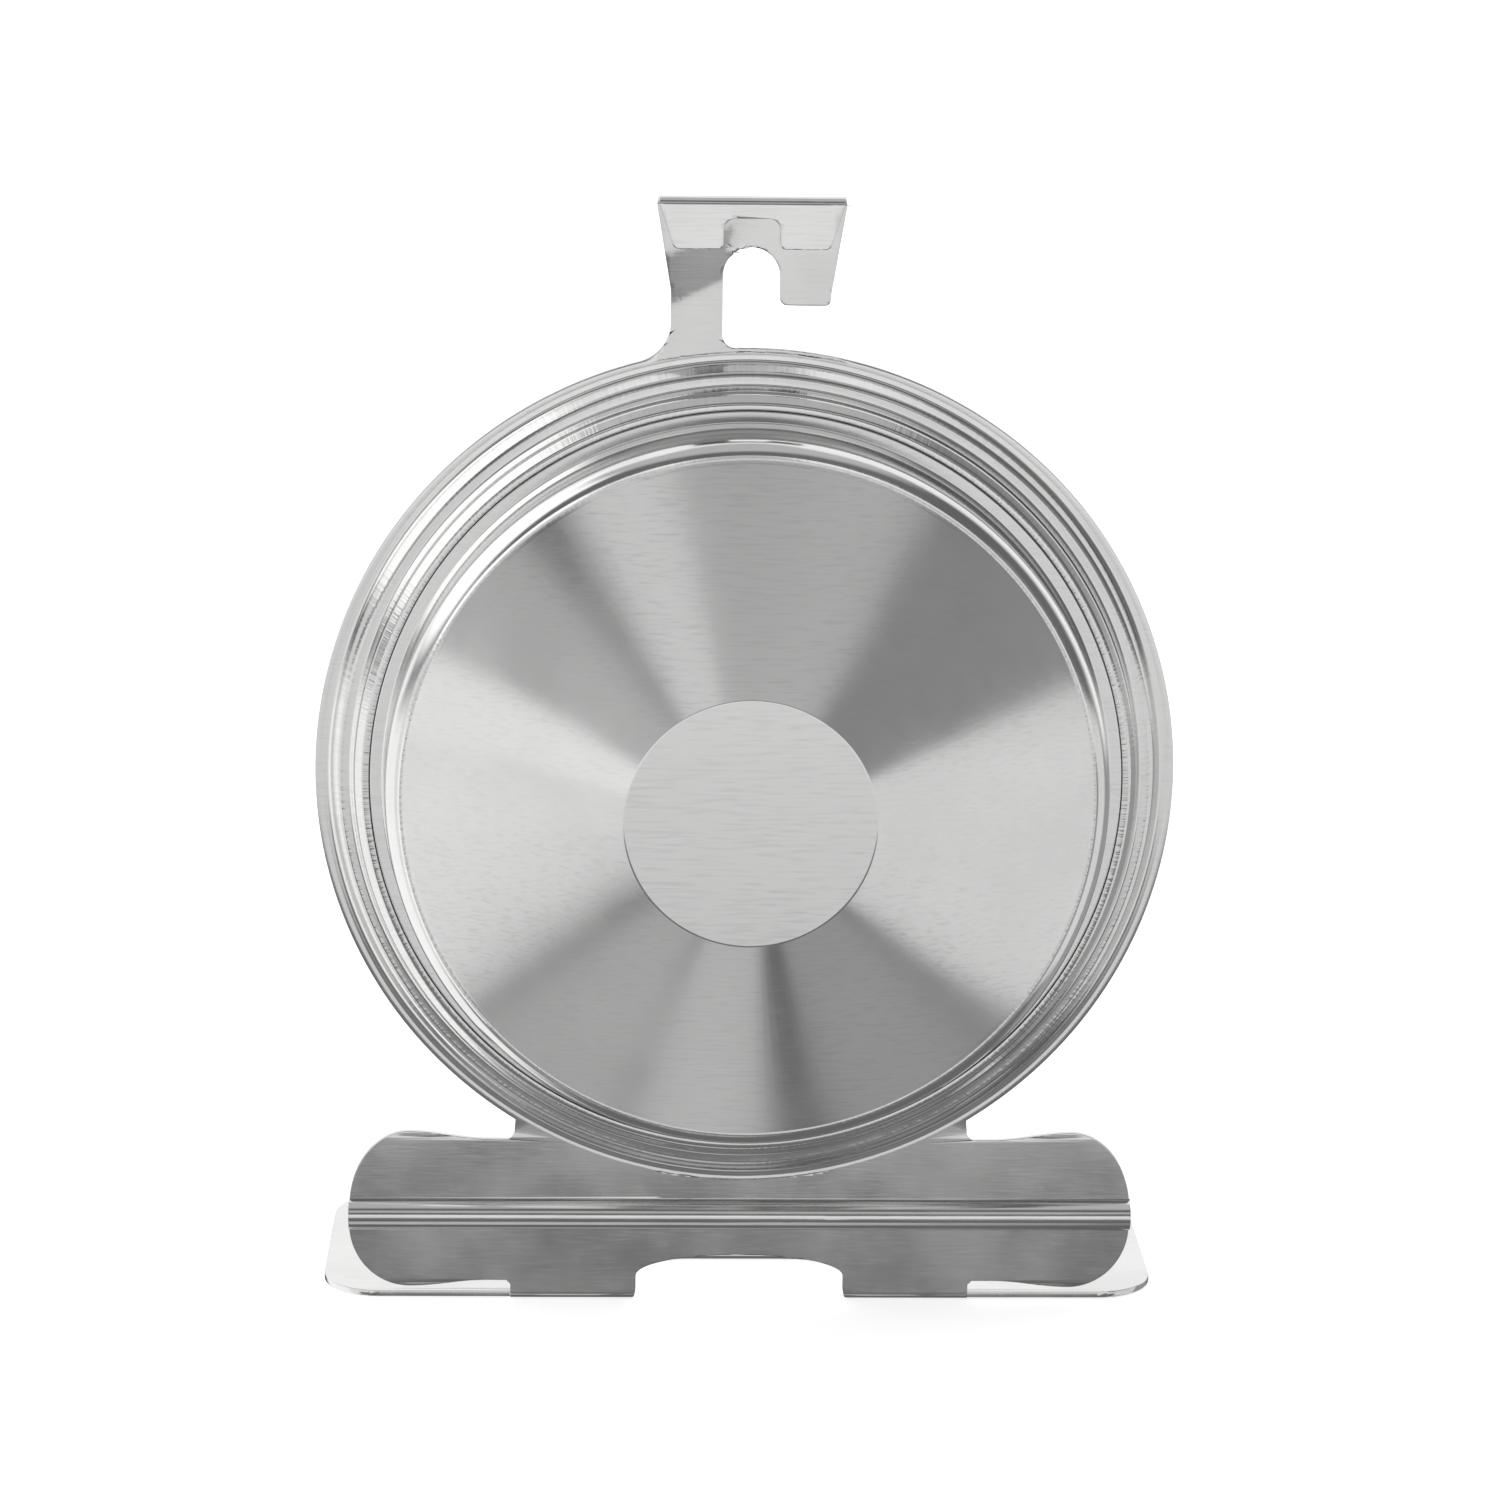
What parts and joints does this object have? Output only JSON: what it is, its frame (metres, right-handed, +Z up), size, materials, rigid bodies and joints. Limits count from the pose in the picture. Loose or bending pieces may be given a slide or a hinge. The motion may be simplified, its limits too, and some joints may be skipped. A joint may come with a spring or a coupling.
{
  "type": "oven thermometer",
  "caption": "Stainless dial oven thermometer: crimped round case with a conical back, a hemmed rack hook on top and a folded, beaded stand with a flat foot.",
  "frame": {"origin": "middle of the box on the floor: the foot rests on Z = 0", "axes": "+Z up, +Y out of the conical back of the case, -Y out of the glass and dial; the hook's slot opens to -X"},
  "size_m": [0.065, 0.0394, 0.0858],
  "materials": {
    "stand_sheet": "rolled stainless sheet, satin",
    "cup_sheet": "drawn stainless sheet, satin with fine scratches",
    "bezel": "polished stainless",
    "lens": "clear heat-proof glass",
    "spacer": "plain aluminium",
    "dial": "white lacquer",
    "movement_steel": "plain steel",
    "rivet": "plain aluminium",
    "bush": "turned brass",
    "coil": "bimetal strip",
    "needle": "red lacquer on aluminium"
  },
  "bodies": {
    "case": {"frame_plate": "stand_sheet", "back_cup": "cup_sheet", "front_bezel": "bezel", "glass_lens": "lens", "lens_spacer_ring": "spacer", "dial_plate": "dial", "dial_support_ring": "spacer", "rear_bridge": "movement_steel", "bridge_rivet_left": "rivet", "bridge_rivet_right": "rivet", "front_bush": "bush", "rear_bush": "bush", "coil_anchor_post": "movement_steel", "bimetal_coil": "coil", "stop_pin": "bush"},
    "pointer": {"pointer_shaft": "movement_steel", "pointer_hub": "bush", "pointer_needle": "needle", "coil_collet": "bush"}
  },
  "joints": [
    {"name": "pointer_turn", "type": "hinge", "parent": "case", "child": "pointer", "pos_m": [0, 0.00428, 0.04205], "axis": [0, 1, 0], "range_deg": [-5, 302.4], "stiffness_Nm_per_rad": 0.0003}
  ]
}
